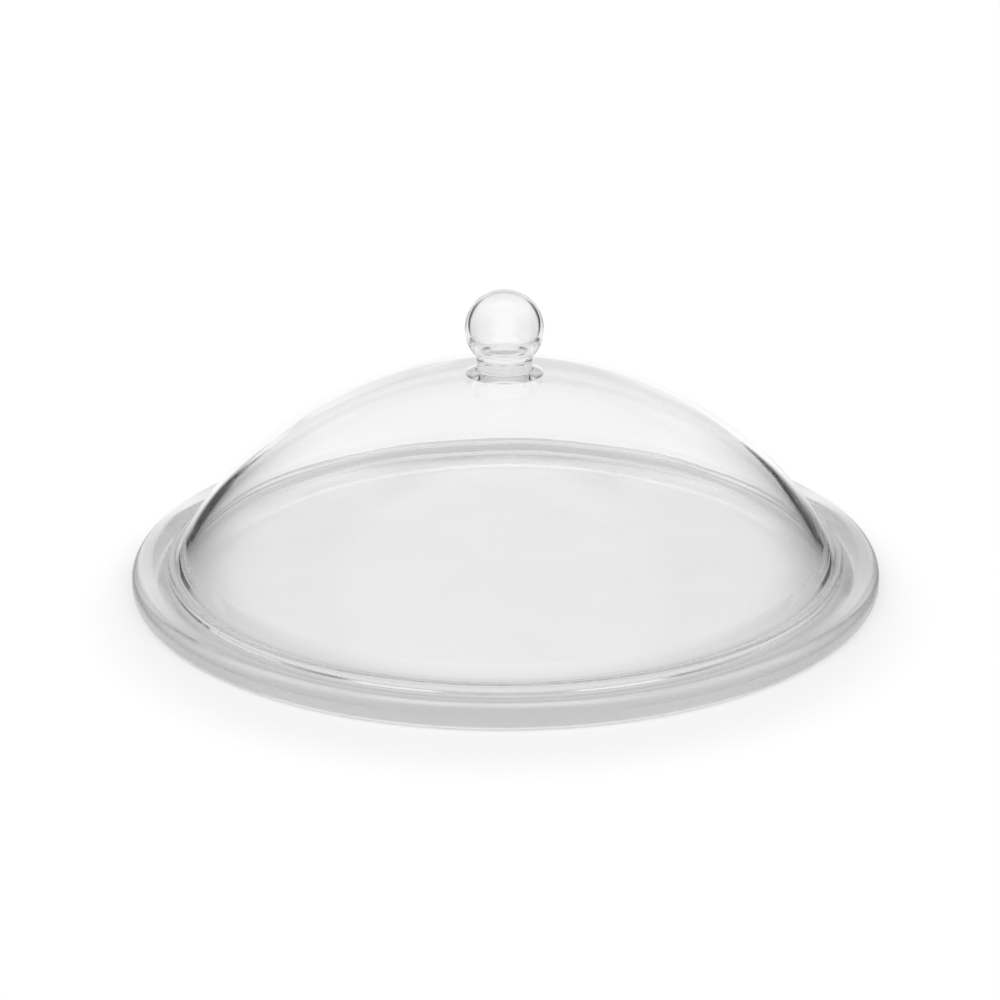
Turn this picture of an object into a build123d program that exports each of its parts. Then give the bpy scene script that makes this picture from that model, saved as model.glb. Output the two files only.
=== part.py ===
from build123d import *

import math
import os

# Low clear-glass dome with a hollow ball knob, standing on a round glass plate.
# Frame: +Z up along the common axis, origin at the centre of the plate's underside. Millimetres.

# ---------------------------------------------------------------- plate
PLATE_RADIUS = 150.0
PLATE_HEIGHT = 9.1            # underside to the crest of the rim
PLATE_BASE_ROUND = 2.1        # rounding where the side meets the underside
RIM_ROUND = 4.6               # rounding where the side meets the crest
RIM_CREST_WIDTH = 2.5         # between the side rounding and the start of the inner slope
RIM_SLOPE_WIDTH = 5.8         # radial width of the slope from the crest down to the ledge
RIM_SLOPE_ROUND = 7.8
LEDGE_HEIGHT = 6.0            # the level ring that the dome stands on
LEDGE_WIDTH = 11.6
FLOOR_HEIGHT = 5.0            # the plate's middle is this thick
COVE_WIDTH = 12.8             # gentle fall from the ledge to the floor
COVE_ROUND = 40.0

# ---------------------------------------------------------------- dome
CROWN_HEIGHT = 84.4           # outer surface on the axis, above the plate's underside
CROWN_RADIUS = 159.0          # spherical crown
CROWN_ANGLE = 43.0            # degrees from the axis where the crown ends
SHOULDER_RADIUS = 120.0       # tighter curve below the crown
SHOULDER_ANGLE = 56.0         # degrees from the axis where the straight skirt starts
DOME_WALL = 5.3
LIP_RADIUS = 135.8            # outermost radius of the thicker lip around the mouth
LIP_TOP = 11.0                # top of the lip, above the plate's underside
LIP_FLARE = 2.5               # fillet where the skirt runs out into the lip
LIP_EDGE = 1.5                # rounding of the lip's two outer edges
MOUTH_RADIUS = 128.2          # inner edge of the mouth
MOUTH_ROUND = 0.5
KNEE_RADIUS = 124.4           # where the inner surface turns towards the mouth
KNEE_ROUND = 2.9

# ---------------------------------------------------------------- knob
BALL_RADIUS = 15.6
BALL_HEIGHT = 101.4           # centre of the ball above the plate's underside
HOLLOW_RADIUS = 13.7
HOLLOW_RISE = 0.6             # the hollow sits this much above the ball's centre
NECK_RADIUS = 11.0
NECK_BLEND = 1.2              # fillet where the ball meets the neck
FOOT_RADIUS = 15.6
FOOT_RISE = 1.6               # height of the foot above the crown, at the neck
FOOT_EDGE = 0.1               # thickness of the foot at its rim
FOOT_BLEND = 1.5              # fillet where the neck meets the foot

CROWN_CENTRE = CROWN_HEIGHT - CROWN_RADIUS


def on_arc(centre_r, centre_z, radius, degrees):
    """Point of a circle in the section plane, at an angle measured from straight up."""
    angle = math.radians(degrees)
    return (centre_r + radius * math.sin(angle), centre_z + radius * math.cos(angle))


def arc(centre_r, centre_z, radius, start, end):
    """Arc in the section plane between two angles measured from straight up."""
    angles = (start, (start + end) / 2, end)
    return ThreePointArc(*[on_arc(centre_r, centre_z, radius, angle) for angle in angles])


def rounded(section, rounds):
    """The section with each listed corner filleted: rounds is a list of (corner, radius)."""
    for corner, radius in rounds:
        vertex = section.vertices().sort_by_distance((corner[0], corner[1], 0))[0]
        section = fillet(vertex, radius)
    return section


def turn(section):
    """Revolve a section drawn with X as radius and Y as height about the vertical axis."""
    return revolve(Plane.XZ * section, Axis.Z)


def glass_plate():
    """Flat-bottomed plate: floor, cove, level ledge, slope and rounded rim."""
    crest_inner = PLATE_RADIUS - RIM_ROUND - RIM_CREST_WIDTH
    ledge_outer = crest_inner - RIM_SLOPE_WIDTH
    ledge_inner = ledge_outer - LEDGE_WIDTH
    base_corner = (PLATE_RADIUS, 0)
    rim_corner = (PLATE_RADIUS, PLATE_HEIGHT)
    crest = (crest_inner, PLATE_HEIGHT)
    slope_foot = (ledge_outer, LEDGE_HEIGHT)
    cove_top = (ledge_inner, LEDGE_HEIGHT)
    cove_foot = (ledge_inner - COVE_WIDTH, FLOOR_HEIGHT)
    outline = [(0, 0), base_corner, rim_corner, crest, slope_foot, cove_top, cove_foot, (0, FLOOR_HEIGHT)]
    section = make_face(Polyline(*outline, close=True))
    rounds = [
        (base_corner, PLATE_BASE_ROUND),
        (rim_corner, RIM_ROUND),
        (crest, RIM_SLOPE_ROUND),
        (slope_foot, RIM_SLOPE_ROUND),
        (cove_top, COVE_ROUND),
        (cove_foot, COVE_ROUND),
    ]
    return turn(rounded(section, rounds))


def glass_dome():
    """Shell of even thickness: spherical crown, tighter shoulder, straight skirt and a thicker lip."""
    shoulder_r, shoulder_z = on_arc(0, CROWN_CENTRE, CROWN_RADIUS - SHOULDER_RADIUS, CROWN_ANGLE)
    crown_inner = CROWN_RADIUS - DOME_WALL
    shoulder_inner = SHOULDER_RADIUS - DOME_WALL
    skirt_outer = on_arc(shoulder_r, shoulder_z, SHOULDER_RADIUS, SHOULDER_ANGLE)
    skirt_inner = on_arc(shoulder_r, shoulder_z, shoulder_inner, SHOULDER_ANGLE)
    skirt_run = (skirt_outer[1] - LIP_TOP) / math.tan(math.radians(SHOULDER_ANGLE))
    flare = (skirt_outer[0] + skirt_run, LIP_TOP)
    lip_high = (LIP_RADIUS, LIP_TOP)
    lip_low = (LIP_RADIUS, LEDGE_HEIGHT)
    mouth = (MOUTH_RADIUS, LEDGE_HEIGHT)
    knee_drop = (KNEE_RADIUS - skirt_inner[0]) * math.tan(math.radians(SHOULDER_ANGLE))
    knee = (KNEE_RADIUS, skirt_inner[1] - knee_drop)
    section = make_face([
        arc(0, CROWN_CENTRE, CROWN_RADIUS, 0, CROWN_ANGLE),
        arc(shoulder_r, shoulder_z, SHOULDER_RADIUS, CROWN_ANGLE, SHOULDER_ANGLE),
        Polyline(skirt_outer, flare, lip_high, lip_low, mouth, knee, skirt_inner),
        arc(shoulder_r, shoulder_z, shoulder_inner, SHOULDER_ANGLE, CROWN_ANGLE),
        arc(0, CROWN_CENTRE, crown_inner, CROWN_ANGLE, 0),
        Line((0, CROWN_HEIGHT - DOME_WALL), (0, CROWN_HEIGHT)),
    ])
    rounds = [
        (flare, LIP_FLARE),
        (lip_high, LIP_EDGE),
        (lip_low, LIP_EDGE),
        (mouth, MOUTH_ROUND),
        (knee, KNEE_ROUND),
    ]
    return turn(rounded(section, rounds))


def knob_body():
    """Section of the ball, its short neck and the foot that tapers out over the crown of the dome."""
    junction_angle = 180 - math.degrees(math.asin(NECK_RADIUS / BALL_RADIUS))
    junction = on_arc(0, BALL_HEIGHT, BALL_RADIUS, junction_angle)
    foot_angle = math.degrees(math.asin(FOOT_RADIUS / CROWN_RADIUS))
    foot_top = (NECK_RADIUS, CROWN_CENTRE + math.sqrt((CROWN_RADIUS + FOOT_RISE) ** 2 - NECK_RADIUS**2))
    foot_high = on_arc(0, CROWN_CENTRE, CROWN_RADIUS + FOOT_EDGE, foot_angle)
    foot_low = on_arc(0, CROWN_CENTRE, CROWN_RADIUS, foot_angle)
    body = make_face([
        arc(0, BALL_HEIGHT, BALL_RADIUS, 0, junction_angle),
        Polyline(junction, foot_top, foot_high, foot_low),
        arc(0, CROWN_CENTRE, CROWN_RADIUS, foot_angle, 0),
        Line((0, CROWN_HEIGHT), (0, BALL_HEIGHT + BALL_RADIUS)),
    ])
    return rounded(body, [(junction, NECK_BLEND), (foot_top, FOOT_BLEND)])


def ball_knob():
    """Hollow ball on a short solid neck, fused to the crown of the dome."""
    hollow = Pos(0, 0, BALL_HEIGHT + HOLLOW_RISE) * Sphere(HOLLOW_RADIUS)
    return turn(knob_body()) - hollow


os.makedirs("parts", exist_ok=True)
for make in (glass_plate, glass_dome, ball_knob):
    export_step(make(), f"parts/{make.__name__}.step")
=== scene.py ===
"""Looks of a low clear-glass dome with a hollow ball knob, standing on a round glass plate.

Every piece is a closed mesh turned from a section, with exact normals. Its main sizes are read from the CAD
nodes of the frame. Lengths are metres in the frame of the CAD model, and MM turns millimetres into metres.
"""

import math

import bpy
from mathutils import Matrix, Vector


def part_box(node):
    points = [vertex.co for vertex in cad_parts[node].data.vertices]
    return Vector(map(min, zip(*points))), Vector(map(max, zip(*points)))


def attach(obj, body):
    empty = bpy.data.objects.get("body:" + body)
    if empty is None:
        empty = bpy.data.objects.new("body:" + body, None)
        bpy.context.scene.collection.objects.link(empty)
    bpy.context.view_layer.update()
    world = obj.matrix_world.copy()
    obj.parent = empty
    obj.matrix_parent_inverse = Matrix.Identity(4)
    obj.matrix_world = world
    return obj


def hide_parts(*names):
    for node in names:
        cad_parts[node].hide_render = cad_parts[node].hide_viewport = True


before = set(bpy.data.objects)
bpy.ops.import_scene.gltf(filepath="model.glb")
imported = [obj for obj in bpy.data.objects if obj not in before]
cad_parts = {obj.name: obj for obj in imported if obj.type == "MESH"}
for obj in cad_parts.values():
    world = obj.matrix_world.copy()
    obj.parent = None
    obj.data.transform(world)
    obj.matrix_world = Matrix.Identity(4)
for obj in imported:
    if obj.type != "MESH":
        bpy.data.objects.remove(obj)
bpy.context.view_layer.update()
MM = 0.001

# ------------------------------------------------------------ sizes read from the frame
PLATE_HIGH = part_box("glass_plate")[1]
DOME_LOW, DOME_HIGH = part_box("glass_dome")
KNOB_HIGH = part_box("ball_knob")[1]
PLATE_RADIUS = PLATE_HIGH.y
PLATE_HEIGHT = PLATE_HIGH.z
LEDGE_HEIGHT = DOME_LOW.z
CROWN_HEIGHT = DOME_HIGH.z
LIP_RADIUS = DOME_HIGH.x
KNOB_TOP = KNOB_HIGH.z

# ------------------------------------------------------------ the rest of the sections, as in the CAD model
PLATE_BASE_ROUND = 2.1 * MM
RIM_ROUND = 4.6 * MM
RIM_CREST_WIDTH = 2.5 * MM
RIM_SLOPE_WIDTH = 5.8 * MM
RIM_SLOPE_ROUND = 7.8 * MM
LEDGE_WIDTH = 11.6 * MM
FLOOR_HEIGHT = 5.0 * MM
COVE_WIDTH = 12.8 * MM
COVE_ROUND = 40.0 * MM
CROWN_RADIUS = 159.0 * MM
CROWN_ANGLE = math.radians(43.0)
SHOULDER_RADIUS = 120.0 * MM
SHOULDER_ANGLE = math.radians(56.0)
DOME_WALL = 5.3 * MM
LIP_TOP = 11.0 * MM
LIP_FLARE = 2.5 * MM
LIP_EDGE = 1.5 * MM
MOUTH_RADIUS = 128.2 * MM
MOUTH_ROUND = 0.5 * MM
KNEE_RADIUS = 124.4 * MM
KNEE_ROUND = 2.9 * MM
SEAT_GAP = 0.04 * MM          # the lip touches the ledge in points only, so its flat is this far off
BALL_RADIUS = 15.6 * MM
HOLLOW_RADIUS = 13.7 * MM
HOLLOW_RISE = 0.6 * MM
NECK_RADIUS = 11.0 * MM
NECK_BLEND = 1.2 * MM
FOOT_RADIUS = 15.6 * MM
FOOT_RISE = 1.6 * MM
FOOT_BLEND = 1.5 * MM
FOOT_EDGE = 0.02 * MM         # the foot thins out to nearly nothing, so that no line shows on the dome
FOOT_ROUND = 0.01 * MM
CROWN = (0, CROWN_HEIGHT - CROWN_RADIUS)
BALL = (0, KNOB_TOP - BALL_RADIUS)
FOOT_ANGLE = math.asin(FOOT_RADIUS / CROWN_RADIUS)

TURNS = 288                   # facets round each piece
ARC_STEP = math.radians(6.0)  # largest turn of a section between two rings
RING_GAP = 3.0 * MM           # largest distance between two rings
SAME_POINT = 1e-8
ON_AXIS = 1e-7


# ------------------------------------------------------------ outlines: lists of (radius, height, normal)
def on_circle(centre, radius, angle):
    """Point of a circle, at an angle from straight up towards growing radius."""
    return (centre[0] + radius * math.sin(angle), centre[1] + radius * math.cos(angle))


def arc(centre, radius, start, end, flip=False):
    """Points of an arc between two angles. The normals point away from the centre, or to it if flipped."""
    turn = abs(end - start)
    count = max(2, math.ceil(turn / ARC_STEP), math.ceil(turn * radius / RING_GAP))
    sign = -1.0 if flip else 1.0
    points = []
    for i in range(count + 1):
        angle = start + (end - start) * i / count
        normal = (sign * math.sin(angle), sign * math.cos(angle))
        points.append(on_circle(centre, radius, angle) + normal)
    return points


def line(a, b):
    """Points of a straight stretch from a to b. The normals point to the left of the way it goes."""
    run, rise = b[0] - a[0], b[1] - a[1]
    length = math.hypot(run, rise)
    count = max(1, math.ceil(length / RING_GAP))
    normal = (-rise / length, run / length)
    return [(a[0] + run * i / count, a[1] + rise * i / count) + normal for i in range(count + 1)]


def rounded(corners):
    """Outline through corners (radius, height, rounding), walked with the glass on the right."""
    points = []
    start = corners[0][:2]
    for before, corner, after in zip(corners, corners[1:], corners[2:]):
        here = Vector(corner[:2])
        back = (Vector(before[:2]) - here).normalized()
        ahead = (Vector(after[:2]) - here).normalized()
        half = math.acos(max(-1.0, min(1.0, back.dot(ahead)))) / 2
        rounding = corner[2]
        reach = rounding / math.tan(half)
        enter, leave = here + back * reach, here + ahead * reach
        middle = here + (back + ahead).normalized() * (rounding / math.sin(half))
        enter_angle = math.atan2(enter.x - middle.x, enter.y - middle.y)
        leave_angle = math.atan2(leave.x - middle.x, leave.y - middle.y)
        if leave_angle - enter_angle > math.pi:
            leave_angle -= 2 * math.pi
        if enter_angle - leave_angle > math.pi:
            leave_angle += 2 * math.pi
        points += line(start, enter)
        points += arc(middle, rounding, enter_angle, leave_angle, flip=leave_angle < enter_angle)
        start = tuple(leave)
    return points + line(start, corners[-1][:2])


def plate_outline():
    """Floor, cove, level ledge, slope, rounded rim and flat underside, from the middle out and back."""
    crest_inner = PLATE_RADIUS - RIM_ROUND - RIM_CREST_WIDTH
    ledge_outer = crest_inner - RIM_SLOPE_WIDTH
    ledge_inner = ledge_outer - LEDGE_WIDTH
    floor_outer = ledge_inner - COVE_WIDTH
    return rounded([
        (0, FLOOR_HEIGHT, 0),
        (floor_outer, FLOOR_HEIGHT, COVE_ROUND),
        (ledge_inner, LEDGE_HEIGHT, COVE_ROUND),
        (ledge_outer, LEDGE_HEIGHT, RIM_SLOPE_ROUND),
        (crest_inner, PLATE_HEIGHT, RIM_SLOPE_ROUND),
        (PLATE_RADIUS, PLATE_HEIGHT, RIM_ROUND),
        (PLATE_RADIUS, 0, PLATE_BASE_ROUND),
        (0, 0, 0),
    ])


def dome_outline():
    """Crown, shoulder, skirt and lip, and back up the inside. It starts at the edge of the knob's foot."""
    shoulder = on_circle(CROWN, CROWN_RADIUS - SHOULDER_RADIUS, CROWN_ANGLE)
    inner_radius = SHOULDER_RADIUS - DOME_WALL
    skirt_outer = on_circle(shoulder, SHOULDER_RADIUS, SHOULDER_ANGLE)
    skirt_inner = on_circle(shoulder, inner_radius, SHOULDER_ANGLE)
    seat = LEDGE_HEIGHT + SEAT_GAP
    flare_radius = skirt_outer[0] + (skirt_outer[1] - LIP_TOP) / math.tan(SHOULDER_ANGLE)
    knee_height = skirt_inner[1] - (KNEE_RADIUS - skirt_inner[0]) * math.tan(SHOULDER_ANGLE)
    outline = arc(CROWN, CROWN_RADIUS, FOOT_ANGLE, CROWN_ANGLE)
    outline += arc(shoulder, SHOULDER_RADIUS, CROWN_ANGLE, SHOULDER_ANGLE)
    outline += rounded([
        skirt_outer + (0,),
        (flare_radius, LIP_TOP, LIP_FLARE),
        (LIP_RADIUS, LIP_TOP, LIP_EDGE),
        (LIP_RADIUS, seat, LIP_EDGE),
        (MOUTH_RADIUS, seat, MOUTH_ROUND),
        (KNEE_RADIUS, knee_height, KNEE_ROUND),
        skirt_inner + (0,),
    ])
    outline += arc(shoulder, inner_radius, SHOULDER_ANGLE, CROWN_ANGLE, flip=True)
    outline += arc(CROWN, CROWN_RADIUS - DOME_WALL, CROWN_ANGLE, 0, flip=True)
    return outline


def knob_outline():
    """Ball, fillet, neck and foot, down to the crown of the dome."""
    reach = BALL_RADIUS + NECK_BLEND
    fillet_radius = NECK_RADIUS + NECK_BLEND
    fillet_height = BALL[1] - math.sqrt(reach ** 2 - fillet_radius ** 2)
    ball_end = math.pi - math.asin(fillet_radius / reach)
    foot_top = CROWN[1] + math.sqrt((CROWN_RADIUS + FOOT_RISE) ** 2 - NECK_RADIUS ** 2)
    outline = arc(BALL, BALL_RADIUS, 0, ball_end)
    outline += arc((fillet_radius, fillet_height), NECK_BLEND, ball_end + math.pi, 1.5 * math.pi, flip=True)
    outline += rounded([
        (NECK_RADIUS, fillet_height, 0),
        (NECK_RADIUS, foot_top, FOOT_BLEND),
        on_circle(CROWN, CROWN_RADIUS + FOOT_EDGE, FOOT_ANGLE) + (FOOT_ROUND,),
        on_circle(CROWN, CROWN_RADIUS, FOOT_ANGLE) + (0,),
    ])
    return outline


def lathe(name, materials, *outlines):
    """Closed mesh turned from outlines about the vertical axis. Each is (points, index of its material)."""
    verts, normals, faces, slots = [], [], [], []
    for points, slot in outlines:
        rings = []
        previous = None
        for radius, height, normal_out, normal_up in points:
            if previous and math.hypot(radius - previous[0], height - previous[1]) < SAME_POINT:
                continue
            previous = (radius, height)
            if radius < ON_AXIS:
                rings.append([len(verts)])
                verts.append((0.0, 0.0, height))
                normals.append((0.0, 0.0, math.copysign(1.0, normal_up)))
                continue
            rings.append(range(len(verts), len(verts) + TURNS))
            for k in range(TURNS):
                angle = 2 * math.pi * k / TURNS
                c, s = math.cos(angle), math.sin(angle)
                verts.append((radius * c, radius * s, height))
                normals.append((normal_out * c, normal_out * s, normal_up))
        for upper, lower in zip(rings, rings[1:]):
            for k in range(TURNS):
                following = (k + 1) % TURNS
                corners = [
                    upper[k % len(upper)],
                    lower[k % len(lower)],
                    lower[following % len(lower)],
                    upper[following % len(upper)],
                ]
                faces.append(list(dict.fromkeys(corners)))
                slots.append(slot)
    mesh = bpy.data.meshes.new(name)
    mesh.from_pydata(verts, [], faces)
    mesh.polygons.foreach_set("material_index", slots)
    mesh.shade_smooth()
    mesh.normals_split_custom_set_from_vertices(normals)
    mesh.update()
    for material in materials:
        mesh.materials.append(material)
    obj = bpy.data.objects.new(name, mesh)
    bpy.context.scene.collection.objects.link(obj)
    return obj


# ------------------------------------------------------------ materials
GLASS_IOR = 1.473
CLEAR = ((0.993, 0.993, 0.993), (0.989, 0.989, 0.989))
CORD_STRETCH = (1.0, 1.0, 4.0)    # flow lines run round the piece
WAVE_RANGE = (0.3, 0.7)           # the part of the noise that carries most of its change
PLATE_POLISH = (0.09, 0.14)
PLATE_SWELL = (45.0 * MM, 0.25 * MM)
PLATE_CORDS = (7.0 * MM, 0.004 * MM)
BLOWN_POLISH = (0.0, 0.01)
DOME_SWELL = (90.0 * MM, 1.6 * MM)
DOME_CORDS = (12.0 * MM, 0.006 * MM)
KNOB_SWELL = (16.0 * MM, 0.04 * MM)
KNOB_CORDS = (4.0 * MM, 0.002 * MM)


class Nodes:
    """Adds shader nodes to a material or a world, and links them."""

    def __init__(self, owner):
        owner.use_nodes = True
        self.tree = owner.node_tree
        self.tree.nodes.clear()

    def add(self, kind, settings=None, **inputs):
        """A node with its settings and with inputs by name. An underscore in a name stands for a space."""
        node = self.tree.nodes.new(kind)
        for key, value in (settings or {}).items():
            setattr(node, key, value)
        for key, value in inputs.items():
            self.feed(node.inputs[key.replace("_", " ")], value)
        return node

    def feed(self, socket, value):
        """Link an output to the socket, or set the socket to a plain value."""
        if hasattr(value, "is_output"):
            self.tree.links.new(value, socket)
        else:
            socket.default_value = value

    def math(self, operation, *values):
        node = self.tree.nodes.new("ShaderNodeMath")
        node.operation = operation
        for socket, value in zip(node.inputs, values):
            self.feed(socket, value)
        return node.outputs[0]

    def ramp(self, value, span, low, high):
        """Smooth step from low to high, as value goes from the first to the second end of span."""
        node = self.tree.nodes.new("ShaderNodeMapRange")
        node.interpolation_type = "SMOOTHSTEP"
        for socket, number in zip(node.inputs, (value, *span, low, high)):
            self.feed(socket, number)
        return node.outputs[0]

    def ring(self, inner_radius, inner_edge, outer_radius, outer_edge, amount, change):
        """1 away from a ring, and 1 + change inside it, as far as amount says."""
        start = self.ramp(inner_radius, inner_edge, 0.0, change)
        stop = self.ramp(outer_radius, outer_edge, 1.0, 0.0)
        return self.math("MULTIPLY_ADD", self.math("MULTIPLY", start, stop), amount, 1.0)

    def finish(self, kind, shader):
        """Link the shader to the output node of that kind."""
        out = self.tree.nodes.new(kind)
        self.feed(out.inputs["Surface"], shader)


def glass_material(name, roughness, swell, cords):
    """Clear glass. swell and cords are (feature size, depth) of its slow waves and of its fine flow lines."""
    material = bpy.data.materials.new(name)
    nodes = Nodes(material)
    place = nodes.add("ShaderNodeTexCoord").outputs["Object"]
    stretched = nodes.add("ShaderNodeMapping", {"vector_type": "POINT"}, Vector=place, Scale=CORD_STRETCH)
    slow = nodes.add("ShaderNodeTexNoise", Vector=place, Scale=1 / swell[0], Detail=1.0)
    fine = nodes.add("ShaderNodeTexNoise", Vector=stretched.outputs[0], Scale=1 / cords[0], Detail=2.0)
    waves = nodes.add("ShaderNodeBump", Strength=1.0, Distance=swell[1], Height=slow.outputs["Fac"])
    relief = nodes.add("ShaderNodeBump", Strength=1.0, Distance=cords[1], Height=fine.outputs["Fac"])
    nodes.feed(relief.inputs["Normal"], waves.outputs[0])
    polish = nodes.ramp(slow.outputs["Fac"], WAVE_RANGE, *roughness)
    shift = nodes.ramp(slow.outputs["Fac"], WAVE_RANGE, 0.0, 1.0)
    colour = nodes.add("ShaderNodeMix", {"data_type": "RGBA"}, Factor=shift)
    nodes.feed(colour.inputs[6], CLEAR[0] + (1.0,))
    nodes.feed(colour.inputs[7], CLEAR[1] + (1.0,))
    glass = nodes.add("ShaderNodeBsdfGlass", Color=colour.outputs[2], Roughness=polish, IOR=GLASS_IOR)
    nodes.feed(glass.inputs["Normal"], relief.outputs[0])
    nodes.finish("ShaderNodeOutputMaterial", glass.outputs[0])
    return material


def fused_material():
    """Where knob and dome are one glass there is no surface to see."""
    material = bpy.data.materials.new("fused_glass")
    nodes = Nodes(material)
    nodes.finish("ShaderNodeOutputMaterial", nodes.add("ShaderNodeBsdfTransparent").outputs[0])
    return material


# ------------------------------------------------------------ pieces
def glass_plate(glass):
    return lathe("glass_plate_mesh", [glass], (plate_outline(), 0))


def glass_dome(glass, fused):
    joint = arc(CROWN, CROWN_RADIUS, 0, FOOT_ANGLE)
    return lathe("glass_dome_mesh", [glass, fused], (dome_outline(), 0), (joint, 1))


def ball_knob(glass, fused):
    joint = arc(CROWN, CROWN_RADIUS, FOOT_ANGLE, 0, flip=True)
    hollow = arc((0, BALL[1] + HOLLOW_RISE), HOLLOW_RADIUS, math.pi, 0, flip=True)
    return lathe("ball_knob_mesh", [glass, fused], (knob_outline(), 0), (joint, 1), (hollow, 0))


def pieces():
    """The three pieces, each with its material slot, on its body, in place of its CAD node."""
    plate_glass = glass_material("pressed_glass", PLATE_POLISH, PLATE_SWELL, PLATE_CORDS)
    dome_glass = glass_material("blown_glass", BLOWN_POLISH, DOME_SWELL, DOME_CORDS)
    knob_glass = glass_material("knob_glass", BLOWN_POLISH, KNOB_SWELL, KNOB_CORDS)
    fused = fused_material()
    for piece, node, body, slot in (
        (glass_plate(plate_glass), "glass_plate", "plate", "pressed_glass"),
        (glass_dome(dome_glass, fused), "glass_dome", "cover", "blown_glass"),
        (ball_knob(knob_glass, fused), "ball_knob", "cover", "knob_glass"),
    ):
        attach(piece, body)
        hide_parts(node)


# ------------------------------------------------------------ table
TABLE_DROP = 0.1 * MM
TABLE_HALF = 6.0
TABLE_COLOUR = (0.9, 0.9, 0.9, 1.0)
OPEN_GLOW = 0.24                  # lifts the open table to white
SHADOW_DEPTH = 0.10               # the faint shadow round the plate
SHADOW_SHIFT = (0.0, 0.020, 0.0)  # and how far it leans towards the camera
SHADOW_EDGE = (0.140, 0.178)
# the sheet that is seen through glass: an emission, so its brightness is painted light, with painted shade
# aside, under the glass and by the rim
SHEET_BRIGHT = 1.0
# painted shade: the sheet darkens towards the sides of the picture, following the camera, down to this
# brightness
SHADED_SIDE_BRIGHT = 0.03
WEDGE_SLOPE = 0.32                # the painted shade on the sides of the sheet starts at this share of the radius
WEDGE_EDGE = (0.086, 0.121)       # plus this much
UNDER_BRIGHT = 0.93               # the sheet under the glass, dimmed by painted shade
RIM_SHADE = 0.42                  # how much darker it is under the thick rim
RIM_SHADE_IN = (0.105, 0.138)
RIM_SHADE_OUT = (0.1405, 0.1460)
LOW_VIEW = (0.50, 0.85)           # the far half differs only in a view this low (cosine of the camera's rise)
FAR_EDGE = (-0.010, 0.008)        # where the far half starts, up the picture
RIM_SHADE_NARROW = 0.020          # how much narrower the shade under the rim is there
BACK_SHADE = 0.35                 # the sheet's shade just behind the plate
BACK_SHADE_IN = (0.146, 0.151)
BACK_SHADE_OUT = (0.163, 0.172)
BACK_GLOW = 0.35                  # a bright ring under the far side of the dome's mouth
BACK_GLOW_IN = (0.113, 0.118)
BACK_GLOW_OUT = (0.126, 0.132)
BACK_GLOW_EDGE = (-0.022, -0.008)


def sheet(nodes, coords):
    """Shader of the table as seen through glass: a bright sheet that glows with painted light, with painted
    shade on its sides and by the rim and a painted bright ring behind.
    """
    view = nodes.add("ShaderNodeSeparateXYZ", Vector=coords.outputs["Camera"])
    aside = nodes.math("ABSOLUTE", view.outputs[0])
    up_picture = view.outputs[1]
    place = nodes.add("ShaderNodeVectorMath", {"operation": "LENGTH"}, Vector=coords.outputs["Object"])
    radius = place.outputs["Value"]
    straight_up = nodes.add("ShaderNodeVectorTransform", {"convert_from": "WORLD", "convert_to": "CAMERA"})
    straight_up.inputs[0].default_value = (0.0, 0.0, 1.0)
    rise_cosine = nodes.add("ShaderNodeSeparateXYZ", Vector=straight_up.outputs[0]).outputs[1]
    low_view = nodes.ramp(rise_cosine, LOW_VIEW, 0.0, 1.0)
    behind = nodes.ramp(up_picture, FAR_EDGE, 0.0, low_view)
    far_glow = nodes.ramp(up_picture, BACK_GLOW_EDGE, 0.0, low_view)
    narrowed = nodes.math("MULTIPLY_ADD", behind, -RIM_SHADE_NARROW, radius)
    beyond = nodes.math("MULTIPLY_ADD", radius, -WEDGE_SLOPE, aside)
    open_sheet = nodes.ramp(beyond, WEDGE_EDGE, SHEET_BRIGHT, SHADED_SIDE_BRIGHT)
    under = nodes.ramp(radius, RIM_SHADE_OUT, UNDER_BRIGHT, 1.0)
    strength = nodes.math("MULTIPLY", open_sheet, under)
    for ring in (
        nodes.ring(narrowed, RIM_SHADE_IN, radius, RIM_SHADE_OUT, 1.0, -RIM_SHADE),
        nodes.ring(radius, BACK_SHADE_IN, radius, BACK_SHADE_OUT, behind, -BACK_SHADE),
        nodes.ring(radius, BACK_GLOW_IN, radius, BACK_GLOW_OUT, far_glow, BACK_GLOW),
    ):
        strength = nodes.math("MULTIPLY", strength, ring)
    # the table glows with this painted light and shade; it is no lamp
    return nodes.add("ShaderNodeEmission", Strength=strength).outputs[0]


def open_table(nodes, coords):
    """Shader of the table as seen straight: pale, lit by the studio, with a faint soft shadow."""
    diffuse = nodes.add("ShaderNodeBsdfDiffuse", Color=TABLE_COLOUR)
    shifted = nodes.add("ShaderNodeVectorMath", Vector=coords.outputs["Object"])
    shifted.inputs[1].default_value = SHADOW_SHIFT
    away = nodes.add("ShaderNodeVectorMath", {"operation": "LENGTH"}, Vector=shifted.outputs[0])
    glow = nodes.ramp(away.outputs["Value"], SHADOW_EDGE, OPEN_GLOW - SHADOW_DEPTH, OPEN_GLOW)
    lift = nodes.add("ShaderNodeEmission", Strength=glow)
    both = nodes.add("ShaderNodeAddShader")
    nodes.feed(both.inputs[0], diffuse.outputs[0])
    nodes.feed(both.inputs[1], lift.outputs[0])
    return both.outputs[0]


def table():
    mesh = bpy.data.meshes.new("floor")
    corners = [(x * TABLE_HALF, y * TABLE_HALF, 0) for x, y in ((-1, -1), (1, -1), (1, 1), (-1, 1))]
    mesh.from_pydata(corners, [], [(0, 1, 2, 3)])
    obj = bpy.data.objects.new("floor", mesh)
    obj.location.z = -TABLE_DROP
    bpy.context.scene.collection.objects.link(obj)
    material = bpy.data.materials.new("floor")
    nodes = Nodes(material)
    coords = nodes.add("ShaderNodeTexCoord")
    path = nodes.add("ShaderNodeLightPath")
    mix = nodes.add("ShaderNodeMixShader", Fac=path.outputs["Is Camera Ray"])
    nodes.feed(mix.inputs[1], sheet(nodes, coords))
    nodes.feed(mix.inputs[2], open_table(nodes, coords))
    nodes.finish("ShaderNodeOutputMaterial", mix.outputs[0])
    mesh.materials.append(material)


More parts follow.
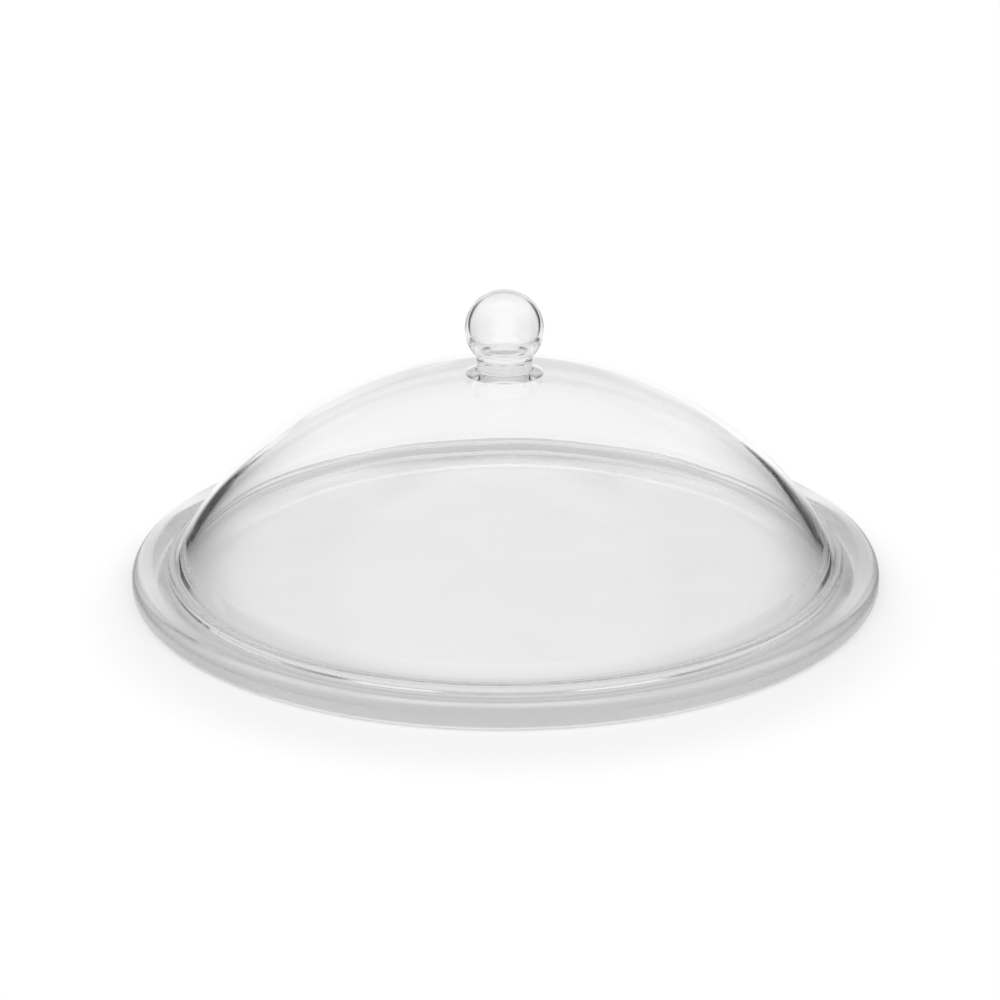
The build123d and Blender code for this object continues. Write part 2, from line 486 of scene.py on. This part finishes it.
# ------------------------------------------------------------ studio and camera
CAMERA_RISE = math.radians(20.81)
CAMERA_ROLL = math.radians(-0.28)
CAMERA_DISTANCE = 1.0
CAMERA_TARGET = Vector((-2.04 * MM, 0, 29.69 * MM))
LENS = 89.57                      # millimetres of lens, on a sensor of 36
SENSOR = 36.0
# heights and distances aside are parts of a direction: 0 is level or straight ahead, 1 is straight up or aside
ROOF_LEAN = math.radians(25.0)    # towards the camera
ROOF_EDGE = (0.62, 0.75)
ROOF_BRIGHT = 1.6                 # as it lights the table
ROOF_SEEN = 1.15                  # as it shows in the glass
SWEEP_EDGE = (0.28, 0.40)         # heights between which the sweep behind becomes the wall
SWEEP_BRIGHT = 0.97
WALL_BRIGHT = 0.68
GAP_EDGE = (0.65, 0.90)           # heights between which the wall darkens below the roof
GAP_SHADE = 0.42
SIDE_EDGE = (0.34, 0.48)          # how far aside the room starts
SIDE_HEIGHT = (-0.02, 0.5)
SIDE_LOW = 0.08
SIDE_HIGH = 0.8
CAMERA_SIDE = (-0.9, -0.5)        # how far ahead the room on the camera's side ends
CAMERA_SIDE_BRIGHT = 1.2
SEEN_STRAIGHT = 1.1               # brightness of the open background


def studio():
    """Light tent: a roof leaning to the camera, a pale sweep behind, and a room that is dark low aside."""
    world = bpy.data.worlds.new("studio")
    bpy.context.scene.world = world
    nodes = Nodes(world)
    coords = nodes.add("ShaderNodeTexCoord")
    view = nodes.add("ShaderNodeSeparateXYZ", Vector=coords.outputs["Camera"])
    up = nodes.add("ShaderNodeSeparateXYZ", Vector=coords.outputs["Generated"]).outputs[2]
    aside = nodes.math("ABSOLUTE", view.outputs[0])
    ahead = nodes.math("MULTIPLY_ADD", up, math.sin(CAMERA_RISE), view.outputs[2])
    up_part = nodes.math("MULTIPLY", up, math.cos(ROOF_LEAN))
    roof_height = nodes.math("MULTIPLY_ADD", ahead, -math.sin(ROOF_LEAN), up_part)
    sweep = nodes.ramp(up, SWEEP_EDGE, SWEEP_BRIGHT, WALL_BRIGHT)
    gap = nodes.ramp(up, GAP_EDGE, 1.0, GAP_SHADE)
    sides = nodes.ramp(up, SIDE_HEIGHT, SIDE_LOW, SIDE_HIGH)
    room = nodes.ramp(aside, SIDE_EDGE, nodes.math("MULTIPLY", sweep, gap), sides)
    walls = nodes.ramp(ahead, CAMERA_SIDE, CAMERA_SIDE_BRIGHT, room)
    path = nodes.add("ShaderNodeLightPath")
    roof = nodes.ramp(path.outputs["Is Diffuse Ray"], (0.0, 1.0), ROOF_SEEN, ROOF_BRIGHT)
    tent = nodes.ramp(roof_height, ROOF_EDGE, walls, roof)
    strength = nodes.ramp(path.outputs["Is Camera Ray"], (0.0, 1.0), tent, SEEN_STRAIGHT)
    background = nodes.add("ShaderNodeBackground", Strength=strength)
    nodes.finish("ShaderNodeOutputWorld", background.outputs[0])


def camera():
    """Camera at the photo's angle, looking along +Y and down, with a slight roll."""
    data = bpy.data.cameras.new("camera")
    data.lens = LENS
    data.sensor_width = SENSOR
    obj = bpy.data.objects.new("camera", data)
    back = Vector((0, -math.cos(CAMERA_RISE), math.sin(CAMERA_RISE)))
    level_right = Vector((1, 0, 0))
    level_up = Vector((0, math.sin(CAMERA_RISE), math.cos(CAMERA_RISE)))
    right = level_right * math.cos(CAMERA_ROLL) + level_up * math.sin(CAMERA_ROLL)
    up = level_up * math.cos(CAMERA_ROLL) - level_right * math.sin(CAMERA_ROLL)
    place = Matrix((right, up, back)).transposed().to_4x4()
    place.translation = CAMERA_TARGET + back * CAMERA_DISTANCE
    obj.matrix_world = place
    bpy.context.scene.collection.objects.link(obj)
    bpy.context.scene.camera = obj


def light_paths():
    """Rays cross many faces of clear glass, so they may turn often before they end."""
    scene = bpy.context.scene
    scene.view_settings.view_transform = "Standard"
    cycles = scene.cycles
    cycles.use_denoising = True
    cycles.max_bounces = 200
    cycles.transmission_bounces = 200
    cycles.glossy_bounces = 200
    cycles.diffuse_bounces = 4
    cycles.transparent_max_bounces = 16
    cycles.caustics_reflective = True
    cycles.caustics_refractive = True
    cycles.blur_glossy = 0.0
    cycles.sample_clamp_indirect = 10.0


pieces()
table()
studio()
camera()
light_paths()
